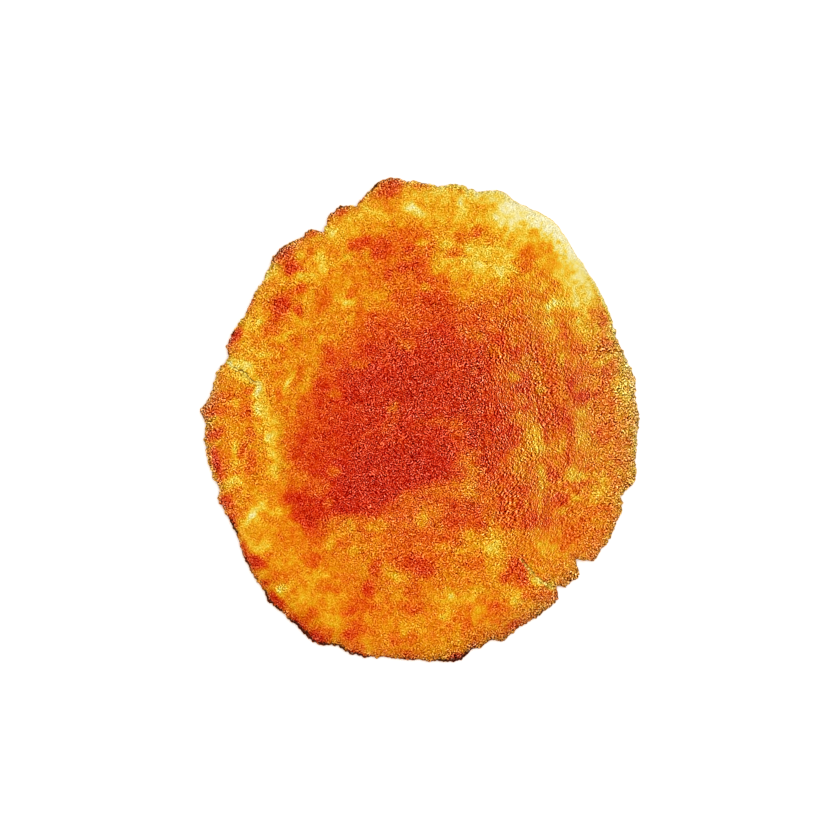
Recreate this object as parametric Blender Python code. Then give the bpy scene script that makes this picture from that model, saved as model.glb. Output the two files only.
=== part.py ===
"""A round pocket flatbread with a ragged, lobed edge, lying on its flat side with the browned side up.

The bread is one solid. It is built from rings of points: they run in from the seam round the edge, over
the top to the middle, and under the bread to the middle again. Lengths are in metres, +Z is up, and the
origin is on the table under the middle of the bread's bounding box. Bearings are in degrees,
anticlockwise from +X.
"""

import math

import bpy
from mathutils import Matrix, Vector, noise

MM = 0.001

# The outline: a circle of the bread's mean radius, pulled oval and squarish by three slow waves.
MEAN_RADIUS = 84.0 * MM
OVAL_WAVES = (  # waves round the edge, height as a share of the radius, bearing of a crest
    (2, 0.063, 79),
    (3, 0.009, 93),
    (4, 0.016, 79),
)
LOBES = (  # bearing, half-width in degrees, how far the edge stands out (below zero, draws in)
    (3, 7, 0.7 * MM),
    (12, 5, 1.1 * MM),
    (24, 8, -1.2 * MM),
    (57, 10, 2.2 * MM),
    (72, 5, 1.8 * MM),
    (79, 12, -2.4 * MM),
    (81, 5, 1.2 * MM),
    (89, 3, -0.5 * MM),
    (99, 8, 3.3 * MM),
    (103, 3, -0.6 * MM),
    (111, 5, 0.4 * MM),
    (120.5, 2.5, 0.7 * MM),
    (130, 8, 2.9 * MM),
    (141, 6, -0.5 * MM),
    (148, 6, -1.4 * MM),
    (154, 5, -0.4 * MM),
    (155, 16, -0.4 * MM),
    (162, 6, -1.4 * MM),
    (176.5, 4, 3.2 * MM),
    (185, 9, 1.5 * MM),
    (197, 3, -0.6 * MM),
    (210, 13, -1.8 * MM),
    (226, 3, -0.4 * MM),
    (230, 6, 1.2 * MM),
    (236.5, 3, 0.7 * MM),
    (243, 7, 1.9 * MM),
    (263, 9, -1.8 * MM),
    (269, 4, -0.7 * MM),
    (278, 6, 1.8 * MM),
    (282, 3, -0.8 * MM),
    (291, 4, 1.6 * MM),
    (292, 1.8, -0.6 * MM),
    (296.5, 2, 0.5 * MM),
    (303, 3, -0.4 * MM),
    (304, 8, 1.0 * MM),
    (312, 3, -0.8 * MM),
    (325.5, 3, -0.7 * MM),
    (326, 11, 1.4 * MM),
    (336.5, 3, 0.6 * MM),
    (346, 6, 1.2 * MM),
)
NOTCHES = (  # sharp nicks where the edge cracked in the oven: bearing, half-width, depth
    (86.5, 3, 1.8 * MM),
    (107, 3, 2.0 * MM),
    (117.5, 3.0, 3.6 * MM),
    (161.5, 3, 1.0 * MM),
    (197.5, 3, 1.4 * MM),
    (249, 3.5, 1.2 * MM),
    (287.5, 3, 1.2 * MM),
    (309.5, 1.7, 3.8 * MM),
    (318.6, 2.5, 5.0 * MM),
    (340, 4, 1.8 * MM),
)
CRAG_REACH = 0.35 * MM
CRAG_SIZE = 4.0 * MM

# The section: a low rim, the shut pocket that stands above it, and an edge rounded over and under.
RIM_THICKNESS = 5.6 * MM
POCKET_THICKNESS = 8.8 * MM
POCKET_MIDDLE = (4 * MM, 0)
POCKET_REACH = (64 * MM, 74 * MM)  # from its middle, along X and along Y
POCKET_SLOPE = 22 * MM
TOP_ROUND = 4.6 * MM
UNDER_ROUND = 2.6 * MM
SEAM_SHARE = 0.42
EDGE_FADE = 8

# The rim curls up off the table, most on the upper left.
CURL_WIDTH = 22.0 * MM
CURL_MEAN = 1.0 * MM
CURL_SWING = 0.8 * MM
CURL_BEARING = 130

# Slow lumps of the dough, which die away at the flat underside.
LUMP_SIZES = ((26.0 * MM, 0.55 * MM), (11.0 * MM, 0.35 * MM), (5.0 * MM, 0.16 * MM))

# Folds that the pocket left as it sank, and last the crack on the left, the tear at the lower right and the
# lip beside it.
FOLDS = (  # points along the line in millimetres, half-width, height over the crust (below zero, depth)
    (((-60, 16), (-58, 6), (-55, -2), (-55, -12), (-53, -22)), 3.6 * MM, -0.9 * MM),
    (((45, 46), (43, 26), (46, 5), (49, -14), (46, -44)), 2.8 * MM, -0.8 * MM),
    (((52, 36), (51, 16), (55, -6), (56, -30)), 2.6 * MM, 0.6 * MM),
    (((-48, -27), (-38, -35), (-25, -35), (-8, -27), (11, -22)), 4.0 * MM, 0.7 * MM),
    (((-46, 40), (-36, 58), (-16, 66)), 3.6 * MM, -0.6 * MM),
    (((-73.5, 23), (-69, 20.4), (-65.3, 18.3), (-62.8, 15.8), (-58, 15.1)), 2.4 * MM, -1.1 * MM),
    (((36, -50), (38.5, -53), (41, -56), (44, -58.8), (49.5, -61.8)), 2.4 * MM, -1.1 * MM),
    (((38, -49), (40.5, -52), (43, -55), (46, -57.8), (50, -60)), 2.6 * MM, 0.5 * MM),
)
BLISTERS = (  # x, y, radius, height, all in millimetres: first the crown of the pocket, then small ones
    (-5, 4, 50, 1.7),
    (-51, 44, 4.5, 0.9),
    (-43, 42, 2.8, 0.6),
    (-53, 59, 4.5, 0.9),
    (-28, 66, 5.0, 0.8),
    (-13, 84, 6.0, 1.0),
    (13, 70, 4.0, 0.7),
    (24, 72, 4.0, 0.8),
    (-71, 30, 4.0, 0.7),
    (-76, -12, 5.0, 0.8),
    (-36, -60, 5.0, 0.8),
    (-14, -58, 4.5, 0.7),
    (0, -63, 4.5, 0.6),
    (22, -60, 5.0, 0.7),
    (37, -54, 4.5, 0.9),
    (58, 26, 4.0, 0.6),
    (65, -18, 4.5, 0.6),
)

# The rings of points.
TOP_SPACING = 2.55 * MM
UNDER_SPACING = 5.2 * MM
EDGE_SPACING = 2.1 * MM
TOP_ROUND_STEPS = 4
UNDER_ROUND_STEPS = 3

CRUST_COLOUR = (0.74, 0.19, 0.02, 1.0)


def ease(share):
    """A smooth step from 0 to 1 as share goes from 0 to 1."""
    share = min(max(share, 0.0), 1.0)
    return share * share * (3 - 2 * share)


def turn_between(bearing, other):
    """The angle from one bearing to another, from -180 to 180 degrees."""
    return (bearing - other + 180) % 360 - 180


def bump(distance, half_width):
    """A round bump: 1 at distance 0, and 0 from half_width on."""
    if abs(distance) >= half_width:
        return 0.0
    return math.cos(math.pi / 2 * distance / half_width) ** 2


def noise_at(x, y, size, layer):
    """Smooth noise from -1 to 1 at a point, with a new lump about every size."""
    return noise.noise(((0.8 * x - 0.6 * y) / size, (0.6 * x + 0.8 * y) / size, layer))


def oval_radius(bearing):
    """The smooth outline's distance from the middle."""
    radius = MEAN_RADIUS
    for count, share, crest in OVAL_WAVES:
        radius += MEAN_RADIUS * share * math.cos(math.radians(count * (bearing - crest)))
    return radius


def ragged_reach(bearing):
    """How far the lobes, notches and crags carry the edge beyond the smooth outline."""
    reach = sum(out * bump(turn_between(bearing, at), half) for at, half, out in LOBES)
    for at, half, depth in NOTCHES:
        reach -= depth * max(0.0, 1 - abs(turn_between(bearing, at)) / half)
    x, y = MEAN_RADIUS * math.cos(math.radians(bearing)), MEAN_RADIUS * math.sin(math.radians(bearing))
    return reach + CRAG_REACH * noise_at(x, y, CRAG_SIZE, 0)


def plan_point(bearing, share):
    """The point at a bearing, a share of the way from the middle to the edge, as (x, y)."""
    radius = share * oval_radius(bearing) + share**EDGE_FADE * ragged_reach(bearing)
    return radius * math.cos(math.radians(bearing)), radius * math.sin(math.radians(bearing))


def distance_to_line(x, y, points):
    """The distance from (x, y) to a line through points that are in millimetres."""
    nearest = math.inf
    for start, end in zip(points, points[1:]):
        ax, ay, bx, by = (value * MM for value in (*start, *end))
        along = ((x - ax) * (bx - ax) + (y - ay) * (by - ay)) / ((bx - ax) ** 2 + (by - ay) ** 2)
        along = min(max(along, 0.0), 1.0)
        nearest = min(nearest, math.hypot(x - ax - along * (bx - ax), y - ay - along * (by - ay)))
    return nearest


def relief(x, y):
    """The height of folds, cracks, blisters and lumps over the smooth top."""
    height = sum(rise * bump(distance_to_line(x, y, points), half) for points, half, rise in FOLDS)
    for at_x, at_y, radius, rise in BLISTERS:
        height += rise * MM * bump(math.hypot(x - at_x * MM, y - at_y * MM), radius * MM)
    for size, rise in LUMP_SIZES:
        height += rise * noise_at(x, y, size, size / MM)
    return height


def underside_height(bearing, inset):
    """The height of the underside: flat on the table, and curled up towards the edge."""
    curl = CURL_MEAN + CURL_SWING * math.cos(math.radians(bearing - CURL_BEARING))
    return curl * ease(1 - inset / CURL_WIDTH)


def thickness(x, y):
    """The bread's smooth thickness: the rim's, rising to the pocket's inside an oval."""
    along = (x - POCKET_MIDDLE[0]) / POCKET_REACH[0]
    across = (y - POCKET_MIDDLE[1]) / POCKET_REACH[1]
    inside = (1 - math.hypot(along, across)) * POCKET_REACH[0]
    return RIM_THICKNESS + (POCKET_THICKNESS - RIM_THICKNESS) * ease(inside / POCKET_SLOPE)


def ring_points(inset, fullness, above, spacing):
    """One ring of points at a distance in from the edge.

    fullness is how much of the height from the seam to the full face the ring has reached, from 0 to 1.
    """
    share = 1 - inset / MEAN_RADIUS
    count = max(6, round(2 * math.pi * share * MEAN_RADIUS / spacing))
    points = []
    for index in range(count):
        bearing = 360 * index / count
        x, y = plan_point(bearing, share)
        low = underside_height(bearing, inset)
        seam = underside_height(bearing, 0) + SEAM_SHARE * RIM_THICKNESS
        face = low + thickness(x, y) + relief(x, y) if above else low
        points.append((x, y, seam + (face - seam) * fullness))
    return points


def side_rings(above):
    """The rings of one side, from just inside the seam to the one round the middle."""
    rounding, steps, spacing = UNDER_ROUND, UNDER_ROUND_STEPS, UNDER_SPACING
    if above:
        rounding, steps, spacing = TOP_ROUND, TOP_ROUND_STEPS, TOP_SPACING
    rings = []
    for step in range(1, steps + 1):
        turn = math.pi / 2 * step / steps
        rings.append(ring_points(rounding * (1 - math.cos(turn)), math.sin(turn), above, EDGE_SPACING))
    flat = MEAN_RADIUS - rounding
    count = round(flat / spacing)
    for index in range(1, count):
        rings.append(ring_points(rounding + flat * index / count, 1, above, spacing))
    return rings


def stitch(outer, inner):
    """Triangles between two rings of vertex numbers, both anticlockwise from the same bearing."""
    outer = outer + outer[:1]
    inner = inner + inner[:1]
    faces = []
    here, there = 0, 0
    while here + there < len(outer) + len(inner) - 2:
        outer_next = (here + 1) / (len(outer) - 1)
        inner_next = (there + 1) / (len(inner) - 1)
        if outer_next <= inner_next:
            faces.append((outer[here], outer[here + 1], inner[there]))
            here += 1
        else:
            faces.append((outer[here], inner[there + 1], inner[there]))
            there += 1
    return faces


def bread_mesh():
    """The whole skin: the seam ring, the top and the underside."""
    seam = ring_points(0, 0, True, EDGE_SPACING)
    points = list(seam)
    faces = []
    for above in (True, False):
        outer = list(range(len(seam)))
        side = []
        for ring in side_rings(above):
            inner = list(range(len(points), len(points) + len(ring)))
            points += ring
            side += stitch(outer, inner)
            outer = inner
        middle = (0.0, 0.0, thickness(0, 0) + relief(0, 0) if above else 0.0)
        points.append(middle)
        side += [(outer[i], outer[(i + 1) % len(outer)], len(points) - 1) for i in range(len(outer))]
        faces += side if above else [face[::-1] for face in side]
    mesh = bpy.data.meshes.new("pita")
    mesh.from_pydata(points, [], faces)
    mesh.validate()
    return mesh


def stand_on_origin(mesh):
    """Moves the mesh so that the middle of its bounding box's underside is the origin."""
    xs, ys, zs = zip(*(vertex.co for vertex in mesh.vertices))
    middle = Vector(((min(xs) + max(xs)) / 2, (min(ys) + max(ys)) / 2, min(zs)))
    mesh.transform(Matrix.Translation(-middle))


def crust_material():
    """Browned crust."""
    material = bpy.data.materials.new("crust")
    material.use_nodes = True
    shader = material.node_tree.nodes["Principled BSDF"]
    shader.inputs["Base Color"].default_value = CRUST_COLOUR
    shader.inputs["Roughness"].default_value = 0.8
    shader.inputs["Metallic"].default_value = 0.0
    return material


def main():
    for obj in list(bpy.data.objects):
        bpy.data.objects.remove(obj)
    mesh = bread_mesh()
    stand_on_origin(mesh)
    mesh.shade_smooth()
    mesh.materials.append(crust_material())
    bpy.context.scene.collection.objects.link(bpy.data.objects.new("pita", mesh))


main()
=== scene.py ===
"""The looks of the pita: a fine skin over the solid bread, its browning, and a plain stage.

Lengths are in metres, and those in the lists of places in millimetres. X and Y are measured from the middle
of the bread, with +Y towards the top of the photo. Bearings are in degrees, anticlockwise from +X. An oval is
given by the X and Y of its middle, its half-length, its half-width, and any turn in degrees.
"""

import math

import bpy
import numpy as np
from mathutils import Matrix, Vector, noise


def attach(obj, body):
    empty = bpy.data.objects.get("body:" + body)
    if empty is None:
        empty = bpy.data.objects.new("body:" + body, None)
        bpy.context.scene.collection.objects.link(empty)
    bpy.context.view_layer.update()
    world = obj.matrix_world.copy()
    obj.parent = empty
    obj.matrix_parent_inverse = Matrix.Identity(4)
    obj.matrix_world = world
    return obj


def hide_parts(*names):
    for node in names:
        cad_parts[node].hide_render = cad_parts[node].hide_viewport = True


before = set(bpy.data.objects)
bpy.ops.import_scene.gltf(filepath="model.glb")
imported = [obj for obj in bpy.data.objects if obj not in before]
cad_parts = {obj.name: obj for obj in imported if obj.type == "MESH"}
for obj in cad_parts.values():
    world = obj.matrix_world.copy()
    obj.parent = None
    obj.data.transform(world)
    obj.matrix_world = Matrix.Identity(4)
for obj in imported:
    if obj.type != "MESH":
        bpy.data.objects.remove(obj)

MM = 0.001

# The outline: a circle of the bread's mean radius, pulled oval and squarish by three slow waves.
MEAN_RADIUS = 84 * MM
OVAL_WAVES = (  # waves round the edge, height as a share of the radius, bearing of a crest
    (2, 0.063, 79), (3, 0.009, 93), (4, 0.016, 79),
)
LOBES = (  # bearing, half-width in degrees, how far the edge stands out (below zero, draws in)
    (3, 7, 0.7), (12, 5, 1.1), (24, 8, -1.2), (57, 10, 2.2), (72, 5, 1.8), (79, 12, -2.4), (81, 5, 1.2),
    (89, 3, -0.5), (99, 8, 3.3), (103, 3, -0.6), (111, 5, 0.4), (120.5, 2.5, 0.7), (130, 8, 2.9),
    (141, 6, -0.5), (148, 6, -1.4), (154, 5, -0.4), (155, 16, -0.4), (162, 6, -1.4), (176.5, 4, 3.2),
    (185, 9, 1.5), (197, 3, -0.6), (210, 13, -1.8), (226, 3, -0.4), (230, 6, 1.2), (236.5, 3, 0.7),
    (243, 7, 1.9), (263, 9, -1.8), (269, 4, -0.7), (278, 6, 1.8), (282, 3, -0.8), (291, 4, 1.6),
    (292, 1.8, -0.6), (296.5, 2, 0.5), (303, 3, -0.4), (304, 8, 1), (312, 3, -0.8), (325.5, 3, -0.7),
    (326, 11, 1.4), (336.5, 3, 0.6), (346, 6, 1.2),
)
NOTCHES = (  # sharp nicks where the edge cracked in the oven: bearing, half-width, depth
    (86.5, 3, 1.8), (107, 3, 2), (117.5, 3, 3.6), (161.5, 3, 1), (197.5, 3, 1.4), (249, 3.5, 1.2),
    (287.5, 3, 1.2), (309.5, 1.7, 3.8), (318.6, 2.5, 5), (340, 4, 1.8),
)
CRAGS = ((4 * MM, 0.35 * MM, 0),)  # size, reach, seed
CRUMBS = ((1.8 * MM, 0.6 * MM, 2), (0.95 * MM, 0.55 * MM, 3))  # the same, at the very edge only
SMOOTH_SIDE = (55, 40)  # bearing and half-width of the stretch of rim with lower crumbs
SMOOTHED = 0.6  # how much lower they are there

# The section: a low rim, the shut pocket that stands above it, and an edge rounded over and under.
RIM_THICKNESS = 5.6 * MM
POCKET_THICKNESS = 8.8 * MM
POCKET_MIDDLE = (4 * MM, 0)
POCKET_REACH = (64 * MM, 74 * MM)  # from its middle, along X and along Y
POCKET_SLOPE = 22 * MM
TOP_ROUND = 4.6 * MM
UNDER_ROUND = 2.6 * MM
SEAM_SHARE = 0.42  # how high up the rim its two sides meet
EDGE_FADE = 8  # the power by which the lobes and nicks fade inwards
CRUMB_FADE = 50

# The rim curls up off the table, most on the upper left.
CURL_WIDTH = 22 * MM
CURL_MEAN = 1 * MM
CURL_SWING = 0.8 * MM
CURL_BEARING = 130

# The relief.
LUMPS = (  # size, height, seed
    (26 * MM, 0.55 * MM, 26), (11 * MM, 0.35 * MM, 11), (5 * MM, 0.16 * MM, 5), (2.4 * MM, 0.11 * MM, 21),
    (1.3 * MM, 0.06 * MM, 22),
)
FOLDS = (  # points along the line, half-width, height over the crust (below zero, depth)
    (((-60, 16), (-58, 6), (-55, -2), (-55, -12), (-53, -22)), 3.6, -0.9),
    (((45, 46), (43, 26), (46, 5), (49, -14), (46, -44)), 2.8, -0.8),
    (((52, 36), (51, 16), (55, -6), (56, -30)), 2.6, 0.6),
    (((-48, -27), (-38, -35), (-25, -35), (-8, -27), (11, -22)), 4, 0.7),
    (((-46, 40), (-36, 58), (-16, 66)), 3.6, -0.6),
    (((38, -49), (40.5, -52), (43, -55), (46, -57.8), (50, -60)), 2.6, 0.5),
)
BLISTERS = (  # x, y, radius, height, first the crown of the pocket, then small ones
    (-5, 4, 50, 1.7), (-51, 44, 4.5, 0.9), (-43, 42, 2.8, 0.6), (-53, 59, 4.5, 0.9), (-28, 66, 5, 0.8),
    (-13, 84, 6, 1), (13, 70, 4, 0.7), (24, 72, 4, 0.8), (-71, 30, 4, 0.7), (-76, -12, 5, 0.8),
    (-36, -60, 5, 0.8), (-14, -58, 4.5, 0.7), (0, -63, 4.5, 0.6), (22, -60, 5, 0.7), (37, -54, 4.5, 0.9),
    (58, 26, 4, 0.6), (65, -18, 4.5, 0.6),
)
BUNCHED = (0.5, 47, 2, 26, 60)  # where there are wrinkles: softness of the edge, oval
WRINKLE_SIZE = 1.15 * MM
WRINKLE_STRETCH = 9
WRINKLE_SWAY = ((14 * MM, 2.5 * MM, 51),)
WRINKLE_UPRIGHT = -15 * MM  # above this they stand upright
WRINKLE_LEAN = 0.5  # how far they lean for each unit below it
WRINKLE_HEIGHT = 0.2 * MM
WRINKLE_BROWN = 0.14
UNDER_PIT_SIZE = 2.2 * MM
UNDER_PIT_HEIGHT = 0.15 * MM

# The splits in the crust. Each has its line, and where along X it starts to open, is open, starts to close
# and is shut. Pale crumb shows at a distance to the left of the line, with a half-width, and dark gaps of
# painted shade run at distances to the left of it, each with how dark it is.
CRACK = ((-73.5, 23), (-71, 21.6), (-69, 20.4), (-66.8, 19.8), (-65.3, 18.3), (-62.8, 15.8), (-58, 15.1))
CRACK_OPEN = (-70.8, -69.8, -62.5, -57.5)
CRACK_CRUMB = (-0.5, 0.45)
CRACK_GAP_SHADES = ((0, 0.95), (-1.05, 0.4))
TEAR = ((36, -50), (38.5, -53), (41, -56), (44, -58.8), (49.5, -61.8))
TEAR_OPEN = (35.8, 37, 47, 50)
TEAR_CRUMB = (0, 0.55)
TEAR_GAP_SHADES = ((0.65, 0.7), (-0.6, 0.3))
SPLITS = (("crack", CRACK, CRACK_OPEN), ("tear", TEAR, TEAR_OPEN))
GROOVES = ((1 * MM, 0.5 * MM), (3 * MM, 0.25 * MM))  # half-width and depth, first of its sharp bottom

# Browning of the top, from 0 for pale yellow crust to 1 for the darkest.
BASE_BROWN = 0.45
BLUSHES = (  # share of the way to darkest or, below zero, to palest, softness of the edge, oval
    (0.62, 0.3, -4, 1, 45, 34, 28), (0.5, 0.5, -44, -12, 7, 10), (0.88, 0.2, -21, -21, 32, 10, 16),
    (0.69, 0.5, -12, 2, 29, 28), (0.4, 0.5, 12, 26, 30, 20, -20), (0.25, 0.5, 20, -8, 18, 12),
    (0.33, 0.4, -10, 60, 17, 14), (0.22, 0.4, 53, 0, 25, 46), (0.14, 0.4, 2, -57, 44, 27),
    (-0.5, 0.5, 24, 60, 18, 8), (-0.45, 0.5, 8, 81, 26, 7, -4), (-0.55, 0.45, 48, 72, 28, 10, -42),
    (-0.3, 0.6, 80, 8, 6, 30),
)
DARK_SPOTS = (  # percent of the way to darkest, oval
    # the middle
    (50, -33, -1.5, 2.6, 4), (40, 18, -2.5, 2.5, 2), (60, 5.5, -21.2, 4, 2.5), (45, -25, -23, 8.4, 5.3, 10),
    (40, 8, 34, 4, 4), (50, 5, -17, 4.5, 2.5), (40, 26, -17.5, 2, 4), (35, 24, -13, 2.5, 2.5),
    (40, 6, -18, 7, 2.5), (45, -25.5, 13.5, 7, 5), (40, -8, 13, 10, 4), (25, -22, -24, 11, 5),
    (12, 22, -18, 14, 5),
    # the top
    (60, -12, 88, 5, 3.5, 20), (25, -11, 84, 6, 4), (45, -31.5, 78.7, 4, 1.7, 25),
    (70, -23, 67.5, 4.5, 3, 10), (30, 27, 70, 2.5, 2), (35, 3, 68, 2, 2.5), (30, 9, 58, 2, 1.5),
    (50, -15.5, 65, 4, 3.5, 40), (50, -5.5, 66, 2.2, 2.6, 60), (50, -6, 58.5, 3.5, 2),
    (40, -1.5, 57.5, 3, 3), (45, -13.2, 55.5, 1.9, 3), (35, -10, 46, 3.5, 3), (45, 5, 47.3, 4.3, 2.5, 15),
    (45, 15.5, 55, 2.5, 1.8), (40, 0, 45, 3.5, 4), (40, 0, 88, 3, 2), (40, 11.5, 87.5, 3, 1.6, 15),
    (40, 21.5, 79.5, 3, 2.3), (60, 20.5, 71.5, 3.2, 2.3, 30), (40, 13.5, 69, 2.3, 2.3),
    (50, 11.5, 63.5, 3, 1.8, 15), (25, -1, 71, 3.5, 2), (40, 7, 42.5, 5, 4.2), (40, -15, 38.5, 6, 4),
    (40, 4, 53.5, 6, 3.5), (40, -15, 80, 3, 2), (40, 10, 74.3, 2.6, 2.2), (35, 16, 63, 2.2, 2),
    (50, -22.3, 83.6, 2, 1.2, 50), (12, 29, 75, 4, 5, 20),
    # the upper right
    (50, 39.5, 63.5, 3.2, 3.5), (45, 38.3, 58, 3, 2), (30, 45, 32, 3, 1.5, 20), (30, 33, 48, 4, 5),
    (40, 64, 41, 3, 3), (60, 67, 38.5, 2.2, 2.2), (35, 52.5, 32.3, 2.3, 1.8), (35, 57.5, 28, 3, 2.2),
    (40, 68.5, 31, 2.5, 2), (40, 44.5, 23.5, 2, 2), (35, 36, 40, 2.5, 3), (50, 29, 31, 3.5, 2.5),
    (40, 35, 26, 2, 3), (25, 34.5, 56, 2, 2.5), (20, 19.5, 41.5, 4, 4.5), (40, 35, 60, 2, 2),
    (30, 46, 66, 3.5, 2.5, -40), (14, 27, 46, 2.5, 4, 20),
    # the right
    (30, 64, -3, 2, 3), (40, 59, 10.5, 3.5, 2.5), (30, 64, 11, 4, 2), (40, 51.3, 3, 4.2, 4),
    (45, 48, -19.3, 2.3, 3.2), (30, 67, -5, 3.5, 2.5, 30), (23, 72, -13, 2.5, 3.8, 20),
    (30, 54.2, -6, 1.4, 8, 5), (30, 48, 17, 2, 5), (35, 55, 18, 2, 6), (25, 48, 0, 6, 5),
    (20, 59, 8, 2.5, 6), (30, 51, -12, 2, 2.5), (25, 61, -21, 5, 1.2),
    # the lower right
    (20, 27, -32, 8, 4), (30, 68.5, -30, 2.7, 2), (50, 37, -25, 2.5, 2, 20), (55, 36, -30, 1.5, 2.5),
    (45, 29.5, -30, 2, 3), (35, 31, -37, 2.5, 2), (60, 39.5, -36, 2.5, 3.2), (50, 51, -28, 3, 2.2),
    (45, 15, -33, 7, 5), (35, 56, -40, 3.5, 3.5), (60, 35, -53, 4, 4), (60, 36.5, -58, 2, 3),
    (60, 34, -75, 2.5, 1.5, 40), (35, 45, -64, 4, 3), (30, 65.2, -44.5, 2.5, 1.6, -35),
    (50, 30.5, -57, 2.5, 2.5), (30, 32, -24, 3, 5), (15, 30, -20, 12, 16), (30, 34, -36, 5, 2.5),
    (30, 45, -34, 3.6, 5), (35, 20.5, -38, 2.5, 5), (30, 39, -73, 5, 2, 35), (50, 50, -64, 1.5, 2),
    (30, 40.5, -28, 1.8, 2), (15, 53, -45, 4, 3),
    # the bottom
    (20, -8, -42, 12, 3), (40, 12, -37, 4, 3), (65, 0, -53, 6, 3.5, -20), (50, 27.5, -68, 3.5, 2, 10),
    (35, 17, -74, 2, 3, -15), (40, 28.5, -71.8, 2.7, 2), (35, -9.5, -80, 3, 2.5), (30, -3, -79, 2, 3),
    (30, 18.5, -81, 2, 3), (95, 14, -87, 4.5, 1.6, 10), (70, -27, -78.5, 3, 2),
    (60, -23.5, -86, 4.3, 1.6, -15), (60, -28.5, -69.5, 3.5, 2.8), (50, -24, -76, 3, 3),
    (75, -20, -61.5, 2.2, 3.2, -10), (55, -18, -53.5, 2.2, 3.5, -15), (35, -4, -62, 3, 3.5),
    (40, -8, -50, 7, 3.5, -25), (40, -22, -67.5, 4.5, 2.2), (38, -4.6, -68.3, 4.5, 2.3),
    (35, 29, -78, 4, 2, 30), (40, -5, -86.5, 3.8, 2), (40, -27, -82, 5, 2.5, -10), (30, 6, -42, 12, 3.5),
    (30, 19, -52, 3, 2.5), (25, 2, -48, 7, 3), (13, -17, -67, 4.5, 2.5, -15),
    # the lower left
    (30, -41, -33.5, 5, 2.5, -15), (60, -71.5, -36, 1.8, 2.5, 20), (70, -48, -28, 3.5, 2, -30),
    (80, -44.6, -35, 4.7, 3, -20), (60, -39, -33.5, 4.5, 3, -10), (50, -40, -40, 4, 3.5),
    (45, -40.5, -51, 3, 2.5), (95, -62.3, -51.3, 4.2, 2.3, -20), (40, -54, -56, 2.8, 2.3, -40),
    (60, -58.7, -59.1, 2.6, 1.7, 20), (35, -62.5, -56, 1.6, 1.6), (95, -54.5, -65.5, 3.4, 2.2, -45),
    (40, -51, -69, 4, 1.5, -40), (95, -46.5, -74, 4, 2.4, -35), (100, -39.5, -79.5, 4.5, 2.2, -15),
    (35, -34, -61.5, 4, 1.5, -20), (30, -28.5, -57, 2.5, 2), (30, -29, -44, 2.5, 2.2),
    (50, -42, -72, 2, 3.5, -30), (40, -35, -77.5, 4, 2, -30), (75, -19.5, -31, 4.8, 2.6, 15),
    (35, -40, -36, 5, 4), (25, -48, -43, 7, 3), (60, -66.5, -47, 2.5, 3, 20), (45, -70.5, -34, 3, 3.5, 20),
    (35, -40, -77, 3, 2, -20), (30, -40, -45.5, 2, 1.5),
    # the left
    (30, -54, 18, 2, 2), (35, -54, 11, 1.8, 2.5), (50, -38, 14, 3, 3), (40, -38, 8, 2, 3.5),
    (35, -80, 5, 4, 3, 60), (35, -73, 10, 6, 2, 10), (40, -75, 4.5, 3, 2.5), (40, -66, 4, 2.5, 5),
    (40, -64.5, 12.5, 2.5, 1.8), (35, -43.8, -3.3, 1.7, 4), (50, -78.5, -4.5, 2, 2.6),
    (75, -76.3, -14.5, 1.7, 5.2, 12), (40, -67, -9, 1.3, 3), (40, -64, -14, 1.8, 4, -20),
    (30, -64.5, -3, 1.8, 4, 20), (75, -73, -29, 2.5, 2.5), (60, -75, -3, 2.2, 2), (35, -69, -19, 1.6, 2.5),
    (40, -76.3, -15, 2.7, 5.5, 8), (20, -58.5, -24, 2.2, 2.5),
    # the upper left
    (50, -42.3, 70.8, 2.4, 1.3, 30), (65, -52, 63, 4.5, 2.5, 35), (80, -48.5, 58.5, 2.6, 2.6, 60),
    (40, -45, 57.5, 2.2, 1.6), (35, -23, 42, 1.8, 3), (25, -24, 34, 6, 3), (35, -47, 60.5, 2, 1.2),
    (90, -52.5, 44, 4.8, 3.6, 55), (60, -46, 50.2, 4, 2, 15), (75, -46, 42, 3, 1.3, -70),
    (50, -26, 48.5, 2.5, 1.6), (30, -37.5, 46, 3.5, 5), (35, -28, 57, 3, 2), (35, -55, 37, 5, 3, 40),
    (30, -59.5, 31, 3, 2, 20), (40, -47, 31.3, 2.2, 2.8, 10), (30, -52, 27.8, 1.7, 1.7),
    (80, -70, 31.5, 4.2, 2, 50), (45, -64.7, 44.5, 3.2, 1.1, 60), (30, -45, 19, 3, 2, 20),
    (50, -34.5, 24.7, 2.7, 3), (45, -25, 47, 3.5, 4), (55, -67.2, 34.8, 1.8, 2.2), (40, -48, 61, 2, 1.5),
    (30, -40, 64, 2.2, 1.5), (20, -25, 47, 5, 1.5),
)
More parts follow.
